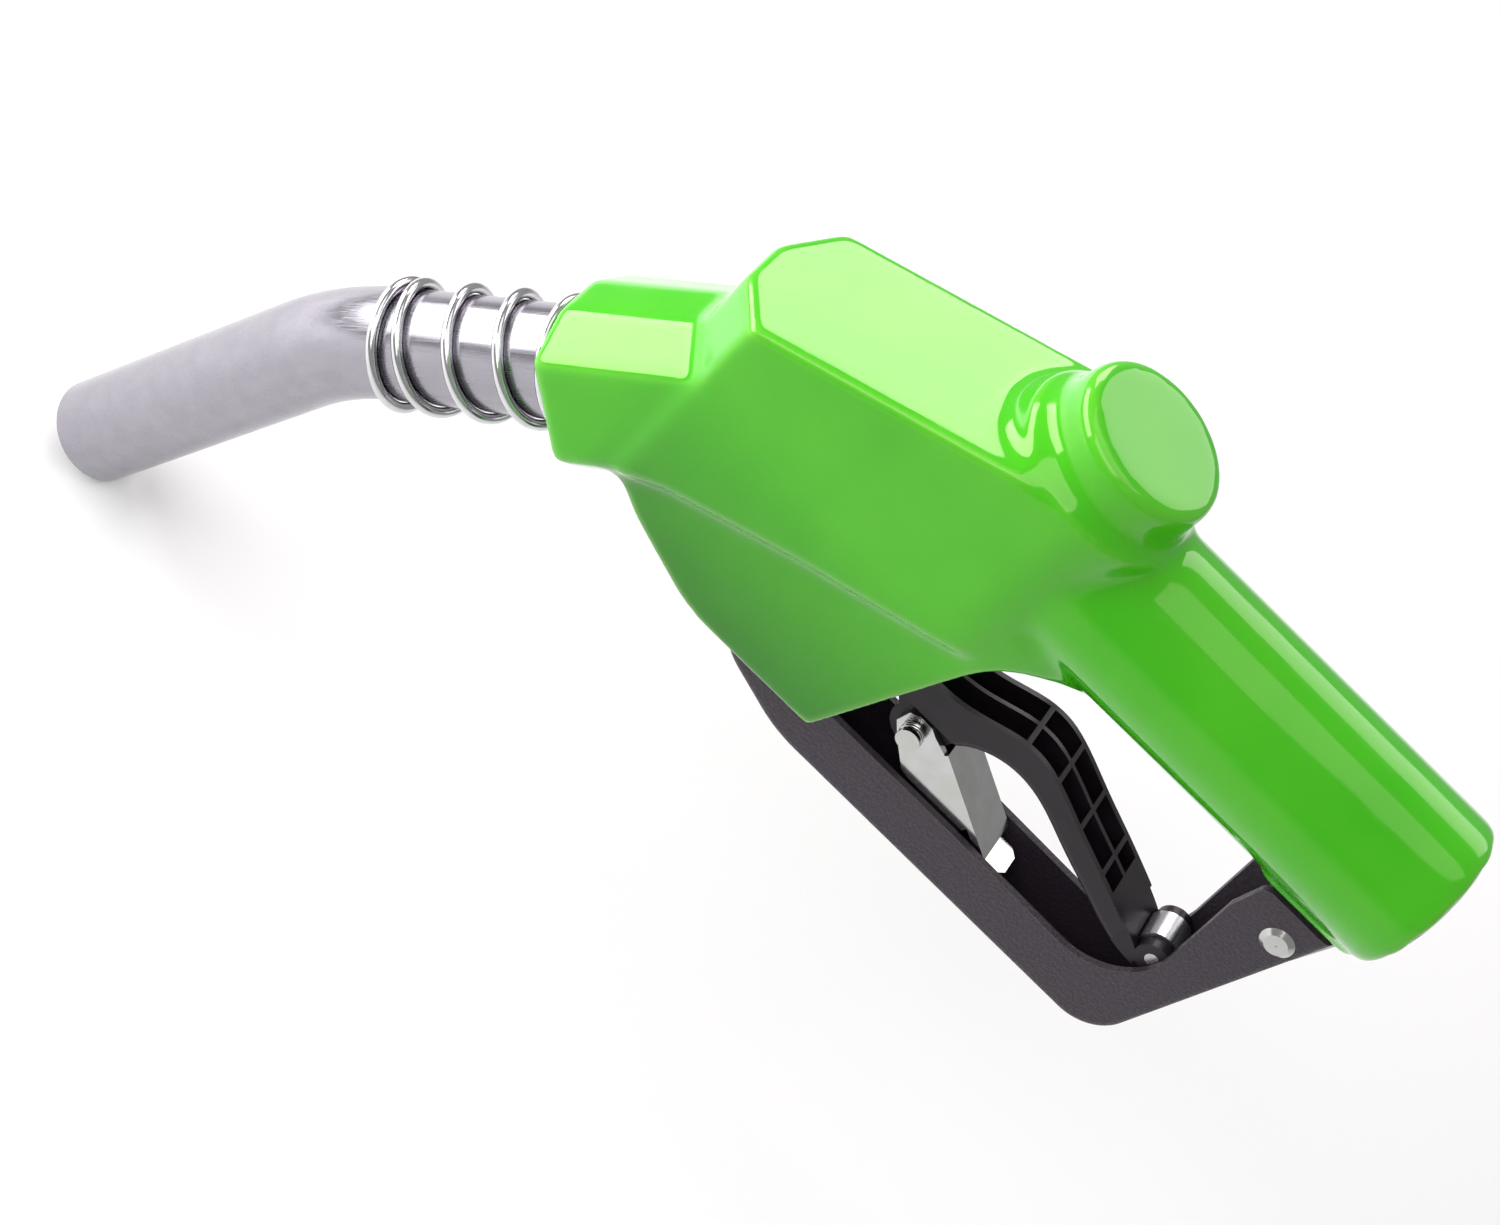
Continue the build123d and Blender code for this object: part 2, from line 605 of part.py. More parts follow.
with BuildPart() as check_spring:
    coil(SPOUT, 4.2, 0.5, -43.6, RETAINER_LOW, 6)
finish(check_spring, "check_spring")

# ---------------------------------------------------------------- guard, its fixings and hold-open rack

floor_path = [
    ((201.5, -75.3), 0), ((187.0, -75.3), 0), ((158.0, -98.8), 22), ((136.0, GUARD_FLOOR), 40),
    ((19.0, GUARD_FLOOR), 14), ((5.4, -24.6), 0), ((27.6, -24.6), 0), ((29.0, -37.2), 4),
    ((22.9, -88.6), 20), ((86.0, -87.3), 60), ((150.0, -87.3), 25), ((184.0, -73.1), 4), ((201.5, -73.1), 0),
]
channel_floor = GUARD_FLOOR + GUARD_SHEET
channel_path = [
    ((186.3, -73.2), 1), ((157.3, -96.7), 20), ((135.4, channel_floor), 38), ((21.0, channel_floor), 12),
    ((12.4, -54.0), 0), ((0, -54.0), 0), ((0, -10.0), 0), ((186.3, -10.0), 0),
]


with BuildPart() as guard:
    rounded_prism(floor_path, GUARD_HALF_WIDTH)
    rims = guard.edges().filter_by(Plane.XZ)
    fillet(rims.filter_by(lambda edge: edge.center().Z < GUARD_FLOOR + 1), radius=GUARD_BEND)
    rounded_prism(channel_path, GUARD_HALF_WIDTH - GUARD_SHEET, mode=Mode.SUBTRACT)
    ear_edges = guard.edges().filter_by(Axis.Y).filter_by(lambda edge: edge.center().Z > EARS_ABOVE)
    fillet(ear_edges, radius=EAR_CORNER)
    disc(cross_plane(RIVET_X, RIVET_Z), RIVET_RADIUS + 0.02, -THROUGH, THROUGH, mode=Mode.SUBTRACT)
    for y in GUARD_SCREW_Y:
        with Locations((GUARD_SCREW_X, y, -74)):
            Cylinder(2.1, 10, mode=Mode.SUBTRACT)
    for y in RACK_RIVETS_Y:
        with Locations((RACK_RIVETS_X, y, GUARD_FLOOR)):
            Cylinder(1.6, 10, mode=Mode.SUBTRACT)
finish(guard, "guard")

with BuildPart() as guard_rivet:
    turned(cross_plane(RIVET_X, RIVET_Z), [
        (0, -12.3), (3.2, -12.1), (4.7, -GUARD_HALF_WIDTH), (RIVET_RADIUS, -GUARD_HALF_WIDTH),
        (RIVET_RADIUS, GUARD_HALF_WIDTH), (4.7, GUARD_HALF_WIDTH), (3.2, 12.1), (0, 12.3),
    ])
finish(guard_rivet, "guard_rivet")

with BuildPart() as guard_screws:
    for y in GUARD_SCREW_Y:
        screw = Plane(origin=(GUARD_SCREW_X, y, 0))
        turned(screw, [
            (0, -61.2), (2.0, -61.2), (2.0, -75.4), (3.4, -75.4), (3.4, -76.6), (2.6, -77.4), (0, -77.4),
        ])
        with BuildSketch(screw.offset(-77.5)) as socket:
            RegularPolygon(1.3, 6)
        extrude(socket.sketch, amount=1.2, mode=Mode.SUBTRACT)
finish(guard_screws, "guard_screws")

rack_side = [
    (79.0, -104.9), (104.0, -104.9), (104.0, -102.9), (97.5, -102.9), (95.5, -98.4), (91.5, -101.6),
    (90.0, -98.9), (86.5, -101.8), (85.0, -99.4), (82.0, -102.9), (79.0, -102.9),
]
with BuildPart() as rack:
    side_prism(rack_side, RACK_HALF_WIDTH)
    for y in RACK_RIVETS_Y:
        disc(Plane(origin=(RACK_RIVETS_X, y, 0)), 1.55, -110, -100, mode=Mode.SUBTRACT)
finish(rack, "hold_open_rack")

with BuildPart() as rack_rivets:
    for y in RACK_RIVETS_Y:
        turned(Plane(origin=(RACK_RIVETS_X, y, 0)), [
            (0, -101.6), (1.7, -101.8), (2.2, -102.8), (1.5, -102.8), (1.5, -107.3), (2.3, -107.3),
            (1.8, -108.2), (0, -108.4),
        ])
finish(rack_rivets, "rack_rivets")

# ---------------------------------------------------------------- lever

lever_top = [
    (TIP_X + 3, -74.6), (34.0, -72.0), (43.0, -67.2), (53.0, -62.4), (66.0, -56.4), (79.0, -50.2),
    (86.0, -48.2), (93.0, -48.5), (101.0, -51.2), (110.0, -54.0), (122.0, -54.4), (136.0, -52.4),
]
lever_bottom = [
    (122.0, -69.0), (103.8, -72.6), (102.0, -66.6), (96.0, -61.0), (86.5, -58.6), (78.0, -60.2),
    (66.0, -65.6), (52.0, -71.8), (40.0, -76.8), (TIP_X + 2, -78.6),
]
rib_stations = [121.0, 91.5, 79.0, 66.0, 53.0, 46.5]
pocket_floor = [
    (122.0, -62.0), (106.0, -62.6), (96.0, -58.6), (86.5, -56.2), (78.0, -57.8), (66.0, -63.2), (44.0, -72.4),
]


def height_at(line, x):
    """The height of a polyline of (x, z) points at a given x."""
    ordered = sorted(line)
    for (x0, z0), (x1, z1) in zip(ordered, ordered[1:]):
        if x0 <= x <= x1:
            return z0 + (z1 - z0) * (x - x0) / (x1 - x0)
    raise ValueError(f"{x} is off the line")


def pocket(x_high, x_low):
    """The side view of one pocket between two cross ribs, open at the top."""
    floor = [(x, height_at(pocket_floor, x)) for x in (x_high, x_low)]
    floor[1:1] = [point for point in pocket_floor if x_low < point[0] < x_high]
    return floor + [(x_low, -40.0), (x_high, -40.0)]


with BuildPart() as lever_blank:
    with BuildSketch(Plane.XZ.offset(-LEVER_HALF_WIDTH)):
        with BuildLine():
            crest = Spline(*lever_top)
            Polyline(lever_top[-1], (150, -52), (TRIP_X, -52), (TRIP_X, -68), (150, -68), lever_bottom[0])
            Polyline(lever_bottom[0], (119.0, -73.0), lever_bottom[1])
            belly = Spline(*lever_bottom[1:])
            Line(lever_bottom[-1], lever_top[0])
        make_face()
    extrude(amount=2 * LEVER_HALF_WIDTH)
    belly_rims = lever_blank.edges().filter_by(GeomType.BSPLINE).filter_by(Plane.XZ).group_by(Axis.Z)[0]
    fillet(belly_rims, radius=LEVER_ROUND)
    disc(cross_plane(TRIP_X, PIVOT_Z), 8.0, -LEVER_HALF_WIDTH, LEVER_HALF_WIDTH)
    disc(cross_plane(TIP_X, TIP_Z), TIP_CHEEK, -LEVER_HALF_WIDTH, LEVER_HALF_WIDTH)
    disc(cross_plane(LATCH_X, LATCH_Z), 8.0, -LEVER_HALF_WIDTH, LEVER_HALF_WIDTH)

with BuildPart() as lever:
    add(lever_blank.part)
    for side in (-1, 1):
        with Locations((TIP_X, side * (LEVER_TIP_HALF_WIDTH + 5), TIP_Z)):
            Box(22, 10, 30, mode=Mode.SUBTRACT)
        with Locations((LATCH_X - 1, side * 11, LATCH_Z - 1.5)):
            Box(26, 10, 18, mode=Mode.SUBTRACT)
    for x_high, x_low in zip(rib_stations, rib_stations[1:]):
        outline = pocket(x_high - LEVER_RIB / 2, x_low + LEVER_RIB / 2)
        side_layer(outline, LEVER_RIB / 2, LEVER_HALF_WIDTH - LEVER_WALL, mode=Mode.SUBTRACT)
        side_layer(outline, -LEVER_HALF_WIDTH + LEVER_WALL, -LEVER_RIB / 2, mode=Mode.SUBTRACT)
    disc(cross_plane(TIP_X, TIP_Z), TIP_RADIUS + 0.5, -4.9, 4.9, mode=Mode.SUBTRACT)
    disc(cross_plane(TIP_X, TIP_Z), TIP_PIN_RADIUS + 0.02, -THROUGH, THROUGH, mode=Mode.SUBTRACT)
    disc(cross_plane(LATCH_X, LATCH_Z), LATCH_PIN_RADIUS + RUNNING, -THROUGH, THROUGH, mode=Mode.SUBTRACT)
    disc(cross_plane(TRIP_X, PIVOT_Z), PIVOT_PIN_RADIUS, -THROUGH, THROUGH, mode=Mode.SUBTRACT)
    with Locations((TRIP_X + 2, 0, PIVOT_Z)):
        Box(24, 8.6, 30, mode=Mode.SUBTRACT)
    with Locations((PAD_X, 0, PAD_Z + PAD_SIZE[2] / 2)):
        Box(PAD_SIZE[0] + 0.2, PAD_SIZE[1] + 0.2, 2 * PAD_SIZE[2], mode=Mode.SUBTRACT)
finish(lever, "lever")

with BuildPart() as stem_pad:
    with Locations((PAD_X, 0, PAD_Z)):
        Box(*PAD_SIZE)
finish(stem_pad, "stem_pad")

with BuildPart() as tip_roller:
    roller = cross_plane(TIP_X, TIP_Z)
    disc(roller, TIP_RADIUS, -ROLLER_HALF_WIDTH, ROLLER_HALF_WIDTH, bore=TIP_PIN_RADIUS + RUNNING)
finish(tip_roller, "lever_tip_roller")

with BuildPart() as tip_pin:
    disc(cross_plane(TIP_X, TIP_Z), TIP_PIN_RADIUS, -LEVER_TIP_HALF_WIDTH, LEVER_TIP_HALF_WIDTH)
finish(tip_pin, "lever_tip_pin")

with BuildPart() as pivot_pin:
    disc(cross_plane(TRIP_X, PIVOT_Z), PIVOT_PIN_RADIUS, -PIVOT_PIN_REACH, PIVOT_PIN_REACH)
    for y in CLIP_Y:
        disc(cross_plane(TRIP_X, PIVOT_Z), 4, y - 0.4, y + 0.4, bore=2.4, mode=Mode.SUBTRACT)
finish(pivot_pin, "lever_pivot_pin")

with BuildPart() as pivot_clips:
    for y in CLIP_Y:
        disc(cross_plane(TRIP_X, PIVOT_Z), 5.2, y - 0.35, y + 0.35, bore=2.45)
    with Locations((TRIP_X, 0, PIVOT_Z - 5)):
        Box(3, 30, 10, mode=Mode.SUBTRACT)
finish(pivot_clips, "pivot_clips")

# ---------------------------------------------------------------- hold-open latch

latch_flange = [
    (116.4, -69.4), (113.4, -67.9), (109.6, -68.0), (107.2, -69.6), (102.5, -71.6), (84.8, -83.1),
    (83.4, -84.8), (84.2, -88.2), (86.4, -89.2), (93.0, -89.2), (106.5, -86.0), (113.5, -79.0),
    (117.2, -74.5),
]
latch_web = [(102.6, -72.7), (75.0, -90.5), (73.9, -88.8), (101.5, -71.0)]
latch_tip = [(76.6, -91.4), (74.6, -93.2), (66.8, -93.2), (66.8, -91.5), (73.8, -91.5), (75.2, -89.7)]
tip_plan = [
    (80.0, LATCH_TIP_HALF_WIDTH), (69.0, LATCH_TIP_HALF_WIDTH), (66.8, 3.2),
    (66.8, -3.2), (69.0, -LATCH_TIP_HALF_WIDTH), (80.0, -LATCH_TIP_HALF_WIDTH),
]

with BuildPart() as latch_hook:
    side_prism(latch_tip, LATCH_TIP_HALF_WIDTH)
    with BuildSketch(Plane.XY.offset(-95)):
        Polygon(*tip_plan, align=None)
    extrude(amount=10, mode=Mode.INTERSECT)

with BuildPart() as latch:
    side_layer(latch_flange, LATCH_INNER, LATCH_OUTER)
    side_layer(latch_flange, -LATCH_OUTER, -LATCH_INNER)
    side_prism(latch_web, LATCH_OUTER)
    add(latch_hook.part)
    disc(cross_plane(LATCH_X, LATCH_Z), LATCH_PIN_RADIUS + RUNNING, -THROUGH, THROUGH, mode=Mode.SUBTRACT)
finish(latch, "hold_open_latch")

with BuildPart() as latch_hinge_pin:
    disc(cross_plane(LATCH_X, LATCH_Z), LATCH_PIN_RADIUS, -10.6, 11.4)
    disc(cross_plane(LATCH_X, LATCH_Z), 3.4, 11.4, 12.6)
    disc(cross_plane(LATCH_X, LATCH_Z), 3.2, -11.6, -10.6)
finish(latch_hinge_pin, "latch_hinge_pin")

with BuildPart() as latch_spring:
    coil(cross_plane(LATCH_X, LATCH_Z), 3.0, 0.5, 8.4, 11.3, 2)
finish(latch_spring, "latch_spring")
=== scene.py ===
"""Looks of the fuel nozzle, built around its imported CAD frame. Lengths are in metres, in the CAD frame."""
import json
from math import pi, radians

import bpy
from mathutils import Matrix, Vector


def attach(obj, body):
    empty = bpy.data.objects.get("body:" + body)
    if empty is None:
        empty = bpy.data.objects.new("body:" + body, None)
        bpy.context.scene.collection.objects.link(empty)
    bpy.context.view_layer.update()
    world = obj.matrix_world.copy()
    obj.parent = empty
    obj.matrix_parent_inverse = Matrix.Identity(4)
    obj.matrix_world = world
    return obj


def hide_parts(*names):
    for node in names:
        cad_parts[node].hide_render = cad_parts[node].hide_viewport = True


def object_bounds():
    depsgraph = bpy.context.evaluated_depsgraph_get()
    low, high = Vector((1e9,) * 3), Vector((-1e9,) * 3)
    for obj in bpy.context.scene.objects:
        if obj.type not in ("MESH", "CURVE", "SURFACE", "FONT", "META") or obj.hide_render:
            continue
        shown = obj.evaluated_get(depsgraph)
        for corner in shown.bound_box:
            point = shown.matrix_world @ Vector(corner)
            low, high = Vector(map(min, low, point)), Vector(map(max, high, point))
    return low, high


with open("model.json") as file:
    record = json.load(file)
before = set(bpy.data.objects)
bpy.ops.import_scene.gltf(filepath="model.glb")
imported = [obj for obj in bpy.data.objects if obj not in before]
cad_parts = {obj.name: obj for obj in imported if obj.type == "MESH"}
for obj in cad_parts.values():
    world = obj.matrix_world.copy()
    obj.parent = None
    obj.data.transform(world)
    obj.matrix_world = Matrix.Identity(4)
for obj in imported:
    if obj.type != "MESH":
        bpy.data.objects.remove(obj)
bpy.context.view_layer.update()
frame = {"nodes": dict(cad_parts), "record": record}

MM = 0.001

# ---------------------------------------------------------------- shader helpers

# The Mix node has one set of sockets for each data type. These are its colour sockets.
MIX_AMOUNT, MIX_FIRST, MIX_SECOND, MIX_RESULT = 0, 6, 7, 2


def rgba(color):
    return (*color, 1)


class Shader:
    """One node material with short names for the nodes that the finishes share."""

    def __init__(self, name, **sockets):
        self.material = bpy.data.materials.new(name)
        self.material.use_nodes = True
        self.tree = self.material.node_tree
        self.bsdf = self.tree.nodes["Principled BSDF"]
        for socket, value in sockets.items():
            self.set(socket.replace("_", " "), value)
        self.place = self.node("TexCoord").outputs["Object"]
        self.normal = None

    def feed(self, socket, value):
        """Link another node's output to a socket, or set the socket's own value."""
        if isinstance(value, bpy.types.NodeSocket):
            self.tree.links.new(value, socket)
        else:
            socket.default_value = value

    def set(self, socket, value):
        self.feed(self.bsdf.inputs[socket], value)

    def node(self, kind, **inputs):
        made = self.tree.nodes.new("ShaderNode" + kind)
        for socket, value in inputs.items():
            self.feed(made.inputs[socket.replace("_", " ")], value)
        return made

    def stretched(self, stretch, turn=(0, 0, 0)):
        """Object coordinates turned, then scaled along each axis, for grain that runs one way."""
        turned = self.node("Mapping", Vector=self.place, Rotation=turn)
        return self.node("Mapping", Vector=turned.outputs["Vector"], Scale=stretch).outputs["Vector"]

    def noise(self, grain, detail, place=None, rough=0.55):
        """Noise whose blotches are about one grain across."""
        return self.node(
            "TexNoise", Vector=place or self.place, Scale=1 / grain, Detail=detail, Roughness=rough,
        ).outputs["Fac"]

    def ranged(self, value, low=0, high=1, start=0.35, end=0.65):
        """Map start..end to low..high. The default start and end are where most of a noise lies."""
        return self.node(
            "MapRange", Value=value, From_Min=start, From_Max=end, To_Min=low, To_Max=high,
        ).outputs["Result"]

    def mixed(self, amount, first, second):
        """Mix two colours by an amount."""
        made = self.node("Mix")
        made.data_type = "RGBA"
        self.feed(made.inputs[MIX_AMOUNT], amount)
        for socket, value in ((MIX_FIRST, first), (MIX_SECOND, second)):
            linked = isinstance(value, bpy.types.NodeSocket)
            self.feed(made.inputs[socket], value if linked else rgba(value))
        return made.outputs[MIX_RESULT]

    def bump(self, height, depth, strength):
        """Stack one more layer of relief, depth metres high."""
        made = self.node("Bump", Height=height, Distance=depth, Strength=strength)
        if self.normal:
            self.feed(made.inputs["Normal"], self.normal)
        self.normal = made.outputs["Normal"]
        self.set("Normal", self.normal)

    def edge(self, radius, sharp=0.80, flat=0.985):
        """0 on flat faces, rising to 1 on edges, from how far a rounded normal leans off the plain one."""
        made = self.node("VectorMath")
        made.operation = "DOT_PRODUCT"
        self.feed(made.inputs[0], self.node("Bevel", Radius=radius).outputs["Normal"])
        self.feed(made.inputs[1], self.node("NewGeometry").outputs["Normal"])
        return self.ranged(made.outputs["Value"], low=1, high=0, start=sharp, end=flat)


# ---------------------------------------------------------------- finishes

# Painted shade: going down in Z, from the top of the fade to its bottom, the film is painted darker to stand
# in for shade low on the skirt. From the skirt's front to the block's rear in X, the painted shade fades out
# again, so the spout block stays unshaded.
SKIRT_FULL_SHADE_Z = -85 * MM
SKIRT_SHADE_TOP_Z = -25 * MM
SKIRT_FRONT = 208 * MM
BLOCK_REAR = 222 * MM

# The plain film and its painted-shade copy are each a pair of greens that one slow cloud mixes. Outer edges
# are painted paler, partly for a thinner film and partly as a painted highlight.
BRIGHT_FILM = (0.042, 0.455, 0.006), (0.062, 0.500, 0.010)
PAINTED_SHADE_FILM = (0.003, 0.170, 0.006), (0.006, 0.205, 0.008)
THIN_FILM_AND_HIGHLIGHT = (0.20, 0.66, 0.06)


def dipped_skin():
    """Glossy dipped vinyl with painted shade low on the skirt and paler edges (thinner film plus painted
    highlight), with a slow ripple and pits.
    """
    s = Shader("dipped_skin", IOR=1.5, Coat_Weight=0.35, Coat_Roughness=0.03,
               Specular_Tint=rgba((1.0, 0.80, 0.48)), Subsurface_Weight=0.08,
               Subsurface_Radius=(0.5, 1.0, 0.2), Subsurface_Scale=1.0 * MM)
    cloud = s.ranged(s.noise(grain=45 * MM, detail=2))
    bright = s.mixed(cloud, *BRIGHT_FILM)
    painted_shade = s.mixed(cloud, *PAINTED_SHADE_FILM)
    apart = s.node("SeparateXYZ", Vector=s.place).outputs
    # Painted shade: the film is painted darker low on the skirt, and it fades out towards the spout block.
    skirt_with_shade = s.mixed(s.ranged(apart["Z"], start=SKIRT_FULL_SHADE_Z, end=SKIRT_SHADE_TOP_Z), painted_shade, bright)
    film = s.mixed(s.ranged(apart["X"], start=SKIRT_FRONT, end=BLOCK_REAR), skirt_with_shade, bright)
    # Partly a painted highlight: outer edges are painted paler, which also stands for the thinner film
    # there.
    thin_edge_and_highlight = s.ranged(s.node("NewGeometry").outputs["Pointiness"], start=0.505, end=0.55)
    s.set("Base Color", s.mixed(thin_edge_and_highlight, film, THIN_FILM_AND_HIGHLIGHT))
    s.set("Roughness", s.ranged(s.noise(grain=9 * MM, detail=5), low=0.07, high=0.16))
    s.bump(s.noise(grain=24 * MM, detail=1), depth=0.9 * MM, strength=0.35)
    s.bump(s.noise(grain=2.2 * MM, detail=2), depth=0.015 * MM, strength=0.3)
    return s.material


def powder_coat():
    """Textured black powder coat, rubbed paler along its edges."""
    s = Shader("powder_coat", IOR=1.5)
    grain = s.noise(grain=1.1 * MM, detail=2, rough=0.6)
    worn = s.edge(radius=0.5 * MM)
    s.set("Base Color", s.mixed(worn, (0.036, 0.026, 0.037), (0.080, 0.068, 0.080)))
    s.set("Roughness", s.ranged(grain, low=0.40, high=0.62))
    s.bump(grain, depth=0.45 * MM, strength=1.0)
    s.bump(s.noise(grain=6 * MM, detail=2), depth=0.12 * MM, strength=0.25)
    return s.material


def moulded_nylon():
    """Black nylon with faint flow marks along the part and a fine mould grain."""
    s = Shader("moulded_nylon", IOR=1.4)
    flow = s.noise(grain=9 * MM, detail=4, place=s.stretched((0.25, 1, 1)))
    s.set("Base Color", s.mixed(s.ranged(flow), (0.010, 0.0065, 0.010), (0.018, 0.012, 0.017)))
    s.set("Roughness", s.ranged(flow, low=0.30, high=0.46))
    s.bump(s.noise(grain=0.35 * MM, detail=2), depth=0.03 * MM, strength=0.5)
    s.bump(s.noise(grain=8 * MM, detail=1), depth=0.15 * MM, strength=0.2)
    return s.material


# The noise behind machining lines is scaled down this far along them, which draws it out into lines.
LINE_STRETCH = 0.02
# A stain that isn't given is the metal's own colour, this much darker.
STAIN_SHADE = 0.86


def bright_metal(name, color, rough, grain, turn=(0, 0, 0), stain=None, depth=0.01 * MM):
    """A metal whose fine lines run along its own X after the turn, with blotches of the stain colour."""
    s = Shader(name, Metallic=1.0)
    lines = s.noise(grain, detail=3, place=s.stretched((LINE_STRETCH, 1, 1), turn))
    blotch = s.noise(grain=7 * MM, detail=4)
    stain = stain or tuple(STAIN_SHADE * channel for channel in color)
    s.set("Base Color", s.mixed(s.ranged(blotch), color, stain))
    s.set("Roughness", s.ranged(lines, low=0.75 * rough, high=1.3 * rough))
    s.bump(lines, depth=depth, strength=0.5)
    s.bump(s.noise(grain=5 * MM, detail=2), depth=0.05 * MM, strength=0.15)
    return s.material


def rubber():
    """Matt black seal rubber."""
    s = Shader("nitrile_rubber", Base_Color=rgba((0.012, 0.012, 0.013)))
    s.set("Roughness", s.ranged(s.noise(grain=3 * MM, detail=4), low=0.5, high=0.72))
    s.bump(s.noise(grain=0.5 * MM, detail=3), depth=0.04 * MM, strength=0.5)
    return s.material


def cast_metal():
    """Bare aluminium casting with a sandy skin."""
    s = Shader("cast_metal", Metallic=1.0)
    grain = s.noise(grain=0.9 * MM, detail=4, rough=0.7)
    blotch = s.noise(grain=9 * MM, detail=4)
    s.set("Base Color", s.mixed(s.ranged(blotch), (0.46, 0.46, 0.48), (0.60, 0.60, 0.62)))
    s.set("Roughness", s.ranged(grain, low=0.42, high=0.62))
    s.bump(grain, depth=0.15 * MM, strength=0.6)
    return s.material


# The spout's axis falls by this angle from +X. The lines on turned parts run along Y.
ALONG_SPOUT = (0, -radians(46.1), 0)
ALONG_Y = (0, 0, pi / 2)
finishes = {
    "sleeve_skin": dipped_skin(),
    "cast_body": cast_metal(),
    "brass": bright_metal("turned_brass", (0.72, 0.50, 0.20), rough=0.28, grain=0.25 * MM),
    "seal_rubber": rubber(),
    "bright_steel": bright_metal(
        "turned_steel", (0.60, 0.60, 0.61), rough=0.25, grain=0.2 * MM, turn=ALONG_Y),
    "spring_steel": bright_metal(
        "spring_wire", (0.74, 0.74, 0.75), rough=0.14, grain=0.3 * MM, depth=0.004 * MM),
    "spout_metal": bright_metal(
        "drawn_tube", (0.37, 0.355, 0.395), rough=0.22, grain=0.35 * MM, turn=ALONG_SPOUT,
        stain=(0.34, 0.325, 0.365), depth=0.012 * MM),
    "guard_powder_coat": powder_coat(),
    "plated_steel": bright_metal(
        "zinc_plate", (0.60, 0.60, 0.60), rough=0.17, grain=0.3 * MM,
        stain=(0.54, 0.54, 0.52), depth=0.008 * MM),
    "lever_plastic": moulded_nylon(),
    "roller_steel": bright_metal(
        "rolled_sleeve", (0.62, 0.62, 0.66), rough=0.30, grain=0.25 * MM, turn=ALONG_Y),
}


def dress(obj, finish):
    """Give an object one finish in place of the materials it came with."""
    obj.data.materials.clear()
    obj.data.materials.append(finish)


# ---------------------------------------------------------------- CAD nodes take their finish

for part in frame["record"]["subparts"]:
    dress(frame["nodes"][part["node"]], finishes[part["material_slot"]])

# ---------------------------------------------------------------- dipped sleeve

# Remesh grid, radius that inner corners are filled to, smoothing passes, and share of faces kept.
SKIN_VOXEL = 0.8 * MM
SKIN_FILL = 4.5 * MM
SKIN_PASSES = 44
SKIN_KEEP = 0.5


def shown(name, data):
    """A new object of that name in the scene."""
    made = bpy.data.objects.new(name, data)
    bpy.context.scene.collection.objects.link(made)
    return made


def soft_copy(node, name, voxel, fill, passes, keep):
    """A copy of a CAD node with inner corners filled to a radius and every edge flowed round."""
    rough = shown(name + "_rough", frame["nodes"][node].data.copy())
    for step in (fill, -fill, 0):
        remesh = rough.modifiers.new("remesh", "REMESH")
        remesh.mode = "VOXEL"
        remesh.voxel_size = voxel
        if step:
            swell = rough.modifiers.new("swell", "DISPLACE")
            swell.mid_level = 0
            swell.strength = step
    smooth = rough.modifiers.new("smooth", "SMOOTH")
    smooth.factor = 0.5
    smooth.iterations = passes
    thin = rough.modifiers.new("thin", "DECIMATE")
    thin.ratio = keep
    graph = bpy.context.evaluated_depsgraph_get()
    mesh = bpy.data.meshes.new_from_object(rough.evaluated_get(graph))
    bpy.data.objects.remove(rough)
    mesh.shade_smooth()
    return shown(name, mesh)


skin = soft_copy("sleeve", "sleeve_skin", SKIN_VOXEL, SKIN_FILL, SKIN_PASSES, SKIN_KEEP)
dress(skin, finishes["sleeve_skin"])
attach(skin, "body")
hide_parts("sleeve")

# ---------------------------------------------------------------- floor

FLOOR_DROP = 2 * MM
FLOOR_SIZE = 12

floor_paint = Shader("pale_floor", Base_Color=rgba((0.90, 0.90, 0.90)))
floor_paint.set("Roughness", floor_paint.ranged(floor_paint.noise(grain=0.2, detail=3), low=0.65, high=0.75))
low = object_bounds()[0]
bpy.ops.mesh.primitive_plane_add(size=FLOOR_SIZE, location=(0, 0, low[2] - FLOOR_DROP))
floor = bpy.context.object
floor.name = "floor"
dress(floor, floor_paint.material)

# ---------------------------------------------------------------- studio light

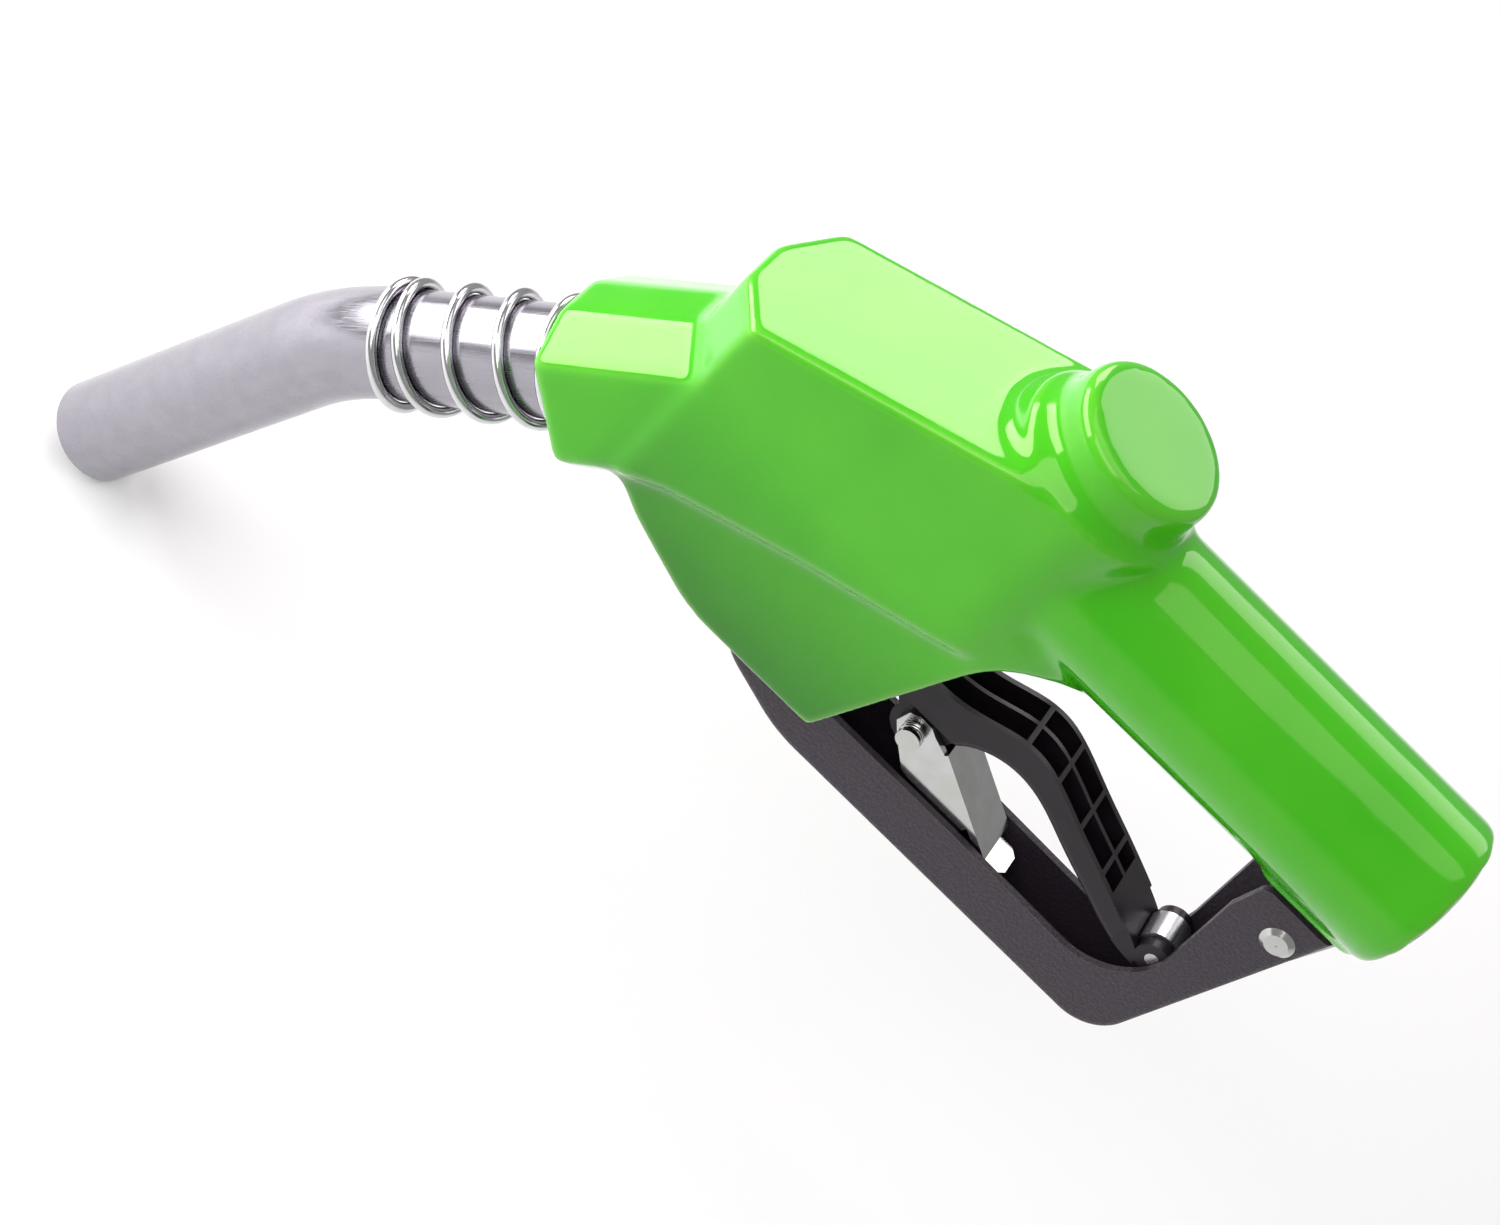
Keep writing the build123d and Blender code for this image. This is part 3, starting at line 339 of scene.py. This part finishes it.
SKY_STRENGTH = 0.35
LIT_POINT = Vector((0.15, 0, -0.05))

world = bpy.data.worlds.new("studio")
bpy.context.scene.world = world
world.use_nodes = True
sky = world.node_tree.nodes["Background"].inputs
sky["Color"].default_value = rgba((1, 1, 1))
sky["Strength"].default_value = SKY_STRENGTH


def softbox(name, place, size, power, color=(1, 1, 1)):
    """A rectangular light that faces the nozzle, power watts strong."""
    light = bpy.data.lights.new(name, "AREA")
    light.shape = "RECTANGLE"
    light.size, light.size_y = size
    light.energy = power
    light.color = color
    made = shown(name, light)
    made.location = place
    made.rotation_euler = (LIT_POINT - Vector(place)).to_track_quat("-Z", "Y").to_euler()


softbox("back_sky", place=(0.62, -0.95, 0.62), size=(0.62, 0.46), power=4.6, color=(1.0, 0.86, 0.92))
softbox("cap_glow", place=(-0.25, -0.95, 0.75), size=(0.7, 0.6), power=3)
softbox("nose_side", place=(1.2, 0.05, 0.22), size=(1.3, 0.5), power=14)
softbox("overhead", place=(0.2, 0.1, 1.5), size=(1.6, 1.0), power=6.5)
softbox("front_edge", place=(0.55, 0.9, 1.0), size=(1.2, 0.8), power=7)

# ---------------------------------------------------------------- camera at the photo's viewing angle

CAMERA_PLACE = Vector((0.2047, 0.5355, 0.4351))
CAMERA_RIGHT = Vector((-0.71430952, -0.46122982, 0.52633541))
CAMERA_UP = Vector((0.69755441, -0.52984227, 0.48237435))
CAMERA_BACK = CAMERA_RIGHT.cross(CAMERA_UP)
SENSOR_WIDTH = 36
FOCAL_LENGTH = 69.15

camera_data = bpy.data.cameras.new("camera")
camera_data.sensor_fit = "HORIZONTAL"
camera_data.sensor_width = SENSOR_WIDTH
camera_data.lens = FOCAL_LENGTH
camera = shown("camera", camera_data)
camera_axes = Matrix((CAMERA_RIGHT, CAMERA_UP, CAMERA_BACK)).transposed()
camera.matrix_world = Matrix.Translation(CAMERA_PLACE) @ camera_axes.to_4x4()
bpy.context.scene.camera = camera
bpy.context.scene.view_settings.view_transform = "Standard"
